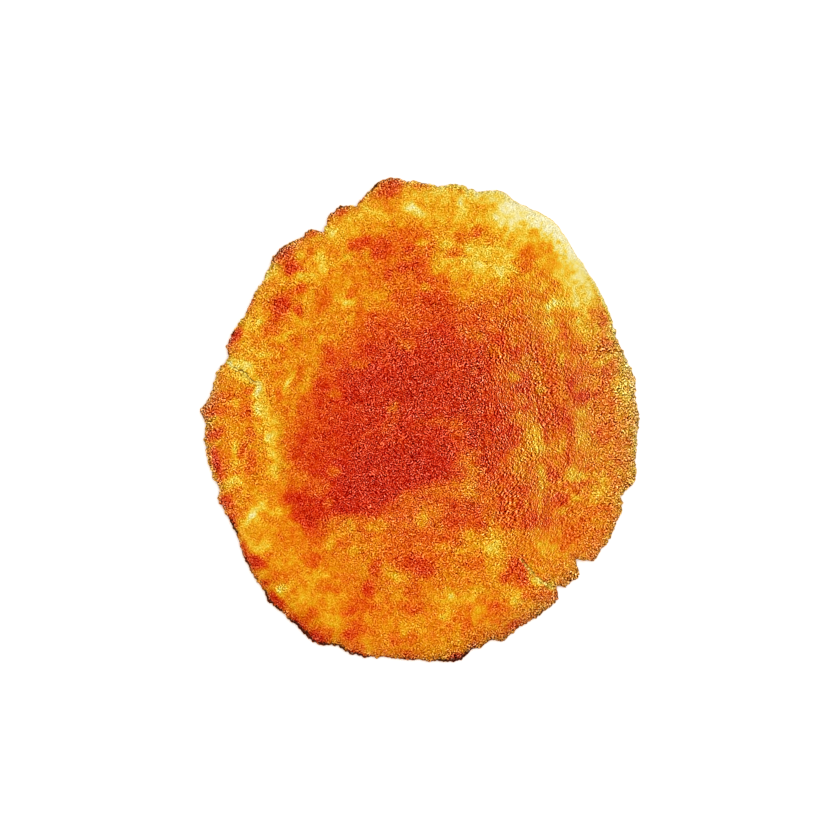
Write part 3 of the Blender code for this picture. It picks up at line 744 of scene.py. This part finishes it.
def skin_values(above, bearing, inset, fullness, x, y):
    """The numbers at points of one side that its colours are made from."""
    if above:
        # Painted light at the very edge, and painted shade at the edge on the lower side.
        pale = PAINTED_LIGHT_AT_EDGE * (1 - PAINTED_SHADE_SIDE_SWING * along_rim(bearing, *PAINTED_SHADE_SIDE))
        brown = browning(x, y) - pale * np.exp(-inset / PAINTED_LIGHT_REACH)
        wall = ease((WALL_TOP - fullness) / WALL_FADE)
        wall_brown_share = wall
    else:
        brown = under_browning(x, y)
        wall = np.ones(x.shape)
        wall_brown_share = 1 - ease(fullness)
    on_top = 1 if above else 0
    bare = 1 - wall

    rim_rows = (FLOURED, GRAINY_RIM, DUSTY, HAZY, PAINTED_SHADE_RIM)
    flour, grainy, dusty, hazy, painted_shade = (rim_marks(bearing, inset, x, y, rows) for rows in rim_rows)
    grainy = np.maximum(grainy, GRAIN_AT_EDGE * ease(1 - inset / GRAIN_EDGE_DEPTH))
    grain = (GRAIN_BASE + patches(x, y, GRAINY)) * (1 + noise_layers(x, y, GRAIN_SWING))
    grain += GRAIN_ON_BROWN * (brown - GRAIN_BROWN_MEAN) + grainy * (1 - flour)
    dust_and_painted_shade = EDGE_DUST_AND_SHADE * np.exp(-inset / DUST_AND_SHADE_REACH) + dusty
    # Painted light: the very edge and the wall lighter, except on the side in painted shade; partly flour.
    flour_and_painted_shading = EDGE_FLOUR_AND_PAINTED_LIGHT * (1 - along_rim(bearing, *PAINTED_SHADE_SIDE)) * np.exp(-inset / FLOUR_AND_PAINTED_LIGHT_REACH)
    # The painted shade on the lower rim also makes it less brown.
    brown = blend(brown - PAINTED_SHADE_PALER * painted_shade, FLOUR_BROWN, flour)
    wall_brown = WALL_BROWN + noise_layers(x, y, WALL_BROWNING)

    values = {
        "brown": blend(brown, wall_brown, wall_brown_share),
        "grain": blend(grain, WALL_GRAIN, wall),
        "fine": oval_patch(x, y, *FINE_PATCH),
        "flour_and_painted_shading": flour_and_painted_shading + (hazy - painted_shade) * bare,
        "dull": patches(x, y, DULL) * (1 - flour) * bare,
        "bunched": on_top * oval_patch(x, y, *DRAWN_PATCH),
        "lean": across_wrinkles(x, y) - x,
        "dust_and_painted_shade": dust_and_painted_shade * (1 - flour) * bare,
        "inset": inset / MM,
        "burnt": burnt_depth(bearing) + WALL_CHAR * wall,
        "scorch": (1 + PALE_SIDE_SCORCH * along_rim(bearing, *PALE_SIDE)) * bare,
    }
    for name, line, stretch in SPLITS:
        distance, side = distance_to_line(x, y, line)
        values[name] = distance * side / MM
        values[name + "_open"] = on_top * opening(x, stretch)
    return values


def side_skin(above):
    """One side of the skin: its points, faces, flat map, values, and how many points are on the seam."""
    (bearing, inset, fullness, over), sizes = side_points(above)
    share = 1 - inset / MEAN_RADIUS
    oval = oval_radius(bearing)
    crumbs = edge_noise(bearing, CRUMBS) * (1 - SMOOTHED * along_rim(bearing, *SMOOTH_SIDE))
    radius = share * oval + share**EDGE_FADE * ragged_reach(bearing) + share**CRUMB_FADE * crumbs
    x, y = from_middle(bearing, radius)
    face = curl(bearing) * ease(1 - inset / CURL_WIDTH)
    if above:
        face += thickness(x, y) + relief(x, y)
    else:
        face += UNDER_PIT_HEIGHT * np.clip(noise_at(x, y, UNDER_PIT_SIZE, 64), 0, 1)
    seam = curl(bearing) + SEAM_SHARE * RIM_THICKNESS
    points = np.stack([x, y, seam + (face - seam) * fullness], axis=1)
    middle, reach = TOP_ISLAND if above else UNDER_ISLAND
    scale = reach * over / over.max() * oval / oval.max()
    flat_map = np.stack(from_middle(bearing, scale), axis=1) + middle
    values = skin_values(above, bearing, inset, fullness, x, y)
    return points, side_faces(sizes), flat_map, values, sizes[0]


def bread_skin():
    """The whole skin as one closed mesh, with its flat map and the numbers that its colours are made from."""
    top, top_faces, top_map, top_values, seam_size = side_skin(True)
    under, under_faces, under_map, under_values, _ = side_skin(False)
    shift = len(top) - seam_size
    joined = [[index if index < seam_size else index + shift for index in face[::-1]] for face in under_faces]
    points = np.concatenate([top, under[seam_size:]])
    middle = (points.min(axis=0) + points.max(axis=0)) / 2
    points -= (middle[0], middle[1], points[:, 2].min())
    mesh = bpy.data.meshes.new("pita_skin")
    mesh.from_pydata(points.tolist(), [], top_faces + joined)
    for name, value in top_values.items():
        attribute = mesh.attributes.new(name, "FLOAT", "POINT")
        attribute.data.foreach_set("value", np.concatenate([value, under_values[name][seam_size:]]))
    corners = np.concatenate([top_map[np.array(top_faces)], under_map[np.array(under_faces)[:, ::-1]]])
    mesh.uv_layers.new(name="OFBake").data.foreach_set("uv", corners.ravel())
    mesh.shade_smooth()
    return mesh


# The materials.


def new_material(name, roughness):
    """A matt material, and the node that its colour goes to."""
    material = bpy.data.materials.new(name)
    material.use_nodes = True
    shader = material.node_tree.nodes["Principled BSDF"]
    shader.inputs["Roughness"].default_value = roughness
    shader.inputs["Specular IOR Level"].default_value = 0
    return material, shader


crust, crust_shader = new_material("crust", CRUST_ROUGHNESS)
tree = crust.node_tree


class Wire:
    """The output of one of the crust's nodes. Sums with wires add the nodes that work them out."""

    def __init__(self, socket):
        self.socket = socket

    def __add__(self, other):
        return add_sum("ADD", self, other)

    def __sub__(self, other):
        return add_sum("SUBTRACT", self, other)

    def __rsub__(self, other):
        return add_sum("SUBTRACT", other, self)

    def __mul__(self, other):
        return add_sum("MULTIPLY", self, other)

    def __truediv__(self, other):
        return add_sum("DIVIDE", self, other)


def add_node(kind, output, inputs, settings=None):
    """Adds a node to the crust, and gives one of its outputs. Each input is a value or a wire."""
    node = tree.nodes.new(kind)
    for name, value in (settings or {}).items():
        setattr(node, name, value)
    for name, value in inputs.items():
        if isinstance(value, Wire):
            tree.links.new(value.socket, node.inputs[name])
        else:
            node.inputs[name].default_value = value
    return Wire(node.outputs[output])


def is_vector(value):
    """Whether a wire or value is a place or a colour, rather than a number."""
    return value.socket.type != "VALUE" if isinstance(value, Wire) else isinstance(value, tuple)


def add_sum(operation, *values):
    """Adds a sum on numbers or, where one of them is a place or a colour, on all three of its parts."""
    kind = "ShaderNodeMath"
    if any(is_vector(value) for value in values):
        kind = "ShaderNodeVectorMath"
        values = [value if isinstance(value, (tuple, Wire)) else (value,) * 3 for value in values]
    return add_node(kind, 0, dict(enumerate(values)), {"operation": operation})


def add_value(name):
    """A number kept at each point of the skin."""
    return add_node("ShaderNodeAttribute", "Fac", {}, {"attribute_name": name})


def add_noise(place, size):
    """Smooth noise round zero, with a lump about every size."""
    return add_node("ShaderNodeTexNoise", "Fac", {"Vector": place, "Scale": 1 / size, "Detail": 0}) - 0.5


def add_ramp(number, start, end, low, high):
    """A number that goes from low to high as another goes from start to end, and no further."""
    return add_node("ShaderNodeMapRange", 0, dict(enumerate((number, start, end, low, high))))


def add_mix(share, first, second):
    """Mixes two colours."""
    return add_node("ShaderNodeMix", 2, {0: share, 6: first, 7: second}, {"data_type": "RGBA"})


def add_gamma(colour, gamma):
    """Raises a colour's red, green and blue to a power."""
    return add_node("ShaderNodeGamma", 0, {"Color": colour, "Gamma": gamma})


def add_blend(share, first, second):
    """Blends two patterns round zero, and keeps their strength where they are mixed."""
    rest = 1 - share
    return (rest * first + share * second) / add_sum("SQRT", rest * rest + share * share)


def add_crust_tone(brown):
    """The colour of the crust for how brown it is."""
    low, high = CRUST_TONES[0][0], CRUST_TONES[-1][0]
    tone = add_node("ShaderNodeValToRGB", "Color", {"Fac": add_ramp(brown, low, high, 0, 1)})
    stops = tone.socket.node.color_ramp.elements
    for at, _ in CRUST_TONES[1:-1]:
        stops.new((at - low) / (high - low))
    for stop, (_, colour) in zip(stops, CRUST_TONES):
        stop.color = (*colour, 1)
    return tone


def add_grit(place):
    """Rough noise with a lump about every grain."""
    inputs = {"Vector": place, "Scale": 1 / GRAIN_SIZE, "Detail": GRAIN_DETAIL}
    inputs.update({"Roughness": GRAIN_ROUGHNESS, "Distortion": GRAIN_TWIST})
    return add_node("ShaderNodeTexNoise", "Fac", inputs)


def add_flecks(place, step):
    """Fine flecks round zero, each with a lit side and a dark side that is a step away, as painted light and
    shade of tiny grains.
    """
    return add_grit(place) - add_grit(place + step)


def add_drawn_place(place, finer):
    """A place, so that a pattern on it is drawn out along the wrinkles, sways and leans with them."""
    return (place + add_value("lean") * (1, 0, 0)) * finer


def add_all_flecks(place):
    """The flecks: finer in the middle of the bread, and drawn out along the wrinkles where it is bunched."""
    wind = add_node("ShaderNodeTexNoise", "Color", {"Vector": place, "Scale": 1 / GRAIN_TURNS, "Detail": 0})
    step = add_sum("NORMALIZE", (wind + GRAIN_LEAN) * (1, 1, 0)) * GRAIN_STEP
    plain = add_flecks(place, step)
    fine = add_flecks(place * GRAIN_FINE, step)
    drawn = add_flecks(add_drawn_place(place, GRAIN_DRAWN), GRAIN_STEP_DRAWN)
    flecks = add_blend(add_value("fine"), plain, fine)
    return add_blend(add_value("bunched"), flecks, drawn)


def add_grain(place, colour, strength, shade):
    """Lightens and darkens a colour with the flecks' painted light and shade, on top of the skin's tone and
    its painted light and shade. Gives the colour and the flecks.
    """
    flecks = add_all_flecks(place)
    lift = flecks * (strength * GRAIN_PAINTED_LIGHT_GAIN) + shade
    darker = strength * strength * GRAIN_DARKENING
    grainy = add_gamma(colour, 1 / DISPLAY_GAMMA) - darker + lift
    return add_gamma(add_sum("MAXIMUM", grainy, 0), DISPLAY_GAMMA), flecks


def add_split(place, name, crumb_place, gaps):
    """The masks of the pale crumb that shows beside a split in the crust, and of the painted shade in the
    gaps along it.
    """
    distance = add_value(name) + add_noise(place, SPLIT_WANDER_SIZE) * SPLIT_WANDER
    is_open = add_value(name + "_open")
    broken = add_noise(place, SPLIT_BROKEN_SIZE)
    crumb_at, crumb_half = crumb_place
    beside = add_sum("ABSOLUTE", distance - crumb_at)
    crumb = add_ramp(beside, crumb_half / 2, crumb_half, SPLIT_CRUMB, 0) * add_ramp(broken, *CRUMB_BROKEN)
    gap_shade = 0
    for at, darkness in gaps:
        beside = add_sum("ABSOLUTE", distance - at)
        gap_shade = add_sum("MAXIMUM", add_ramp(beside, *GAP_SHADE_HALF_WIDTH, darkness, 0), gap_shade)
    return crumb * is_open, gap_shade * add_ramp(broken, *GAP_SHADE_BROKEN) * is_open


def colour_crust():
    """Colours the crust by how brown it is, with a grain that is partly floury and partly painted light and
    shade, char, and crumb and painted shade in the splits.
    """
    place = add_node("ShaderNodeTexCoord", "Object", {})

    brown = add_value("brown")
    drawn = add_noise(add_drawn_place(place, MOTTLE_DRAWN), MOTTLE_SIZE)
    mottle = add_blend(add_value("bunched"), add_noise(place, MOTTLE_SIZE), drawn)
    colour = add_crust_tone(brown + mottle * ((MOTTLE_LIMIT - brown) * MOTTLE_BROWN))
    # Besides mottles, the skin adds flour, painted light at the edge, painted shade on the lower rim, and
    # dullness.
    shade = mottle * (brown * -MOTTLE_SHADE) + add_value("flour_and_painted_shading") + add_value("dull") * DULL_TINT

    fine = add_noise(place, DOT_SIZE)
    inset = add_value("inset")
    dots = add_ramp(fine + add_ramp(inset, *DOTS_NEAR_EDGE), *DOTS)
    colour = add_mix(dots * add_value("scorch"), colour, SCORCH_COLOUR)

    crack_crumb, crack_gap_shade = add_split(place, "crack", CRACK_CRUMB, CRACK_GAP_SHADES)
    tear_crumb, tear_gap_shade = add_split(place, "tear", TEAR_CRUMB, TEAR_GAP_SHADES)
    colour = add_mix(add_sum("MAXIMUM", crack_crumb, tear_crumb), colour, CRUMB_COLOUR)
    # Dust, partly painted shade, in speckles near the rim.
    colour = add_mix(add_value("dust_and_painted_shade") * add_ramp(fine, *DUST_SPECKLES), colour, DUST_AND_SHADE_COLOUR)
    colour, flecks = add_grain(place, colour, add_value("grain"), shade)

    depth = inset + add_noise(place, CHAR_RAGGED_SIZE) * CHAR_RAGGED - add_value("burnt")
    # Painted shade in the gaps of the open splits.
    colour = add_mix(add_sum("MAXIMUM", crack_gap_shade, tear_gap_shade), colour, GAP_SHADE_COLOUR)
    colour = add_mix(add_ramp(depth, *CHAR), colour, CHAR_COLOUR)

    bumps = {"Height": flecks, "Strength": GRAIN_BUMP, "Distance": GRAIN_BUMP_HEIGHT}
    tree.links.new(colour.socket, crust_shader.inputs["Base Color"])
    tree.links.new(add_node("ShaderNodeBump", 0, bumps).socket, crust_shader.inputs["Normal"])


def add_object(name, data):
    """Puts a new object in the scene."""
    new = bpy.data.objects.new(name, data)
    bpy.context.scene.collection.objects.link(new)
    return new


# The bread.
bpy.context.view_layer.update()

colour_crust()
skin = add_object("pita_skin", bread_skin())
skin.data.materials.append(crust)
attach(skin, "root")
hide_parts("pita")

# The floor, light and camera.
bpy.ops.mesh.primitive_plane_add(size=FLOOR_SIZE)
floor = bpy.context.object
floor.name = "floor"
floor_material, floor_shader = new_material("pale_floor", FLOOR_ROUGHNESS)
floor_shader.inputs["Base Color"].default_value = FLOOR_COLOUR
floor.data.materials.append(floor_material)

world = bpy.data.worlds.new("studio")
world.use_nodes = True
sky = world.node_tree.nodes["Background"]
sky.inputs["Color"].default_value = SKY_COLOUR
sky.inputs["Strength"].default_value = SKY_STRENGTH
bpy.context.scene.world = world

key_data = bpy.data.lights.new("key", "AREA")
key_data.shape = "SQUARE"
key_data.size = KEY_SIZE
key_data.energy = KEY_ENERGY
key = add_object("key", key_data)
key.location = KEY_PLACE
key.rotation_euler = (-Vector(KEY_PLACE)).to_track_quat("-Z", "Y").to_euler()

camera_data = bpy.data.cameras.new("camera")
camera_data.sensor_width = SENSOR_WIDTH
camera_data.lens = SENSOR_WIDTH * (CAMERA_HEIGHT - VIEW_HEIGHT) / VIEW_WIDTH
camera = add_object("camera", camera_data)
camera.location = (0, 0, CAMERA_HEIGHT)
bpy.context.scene.camera = camera
bpy.context.scene.view_settings.view_transform = "Standard"
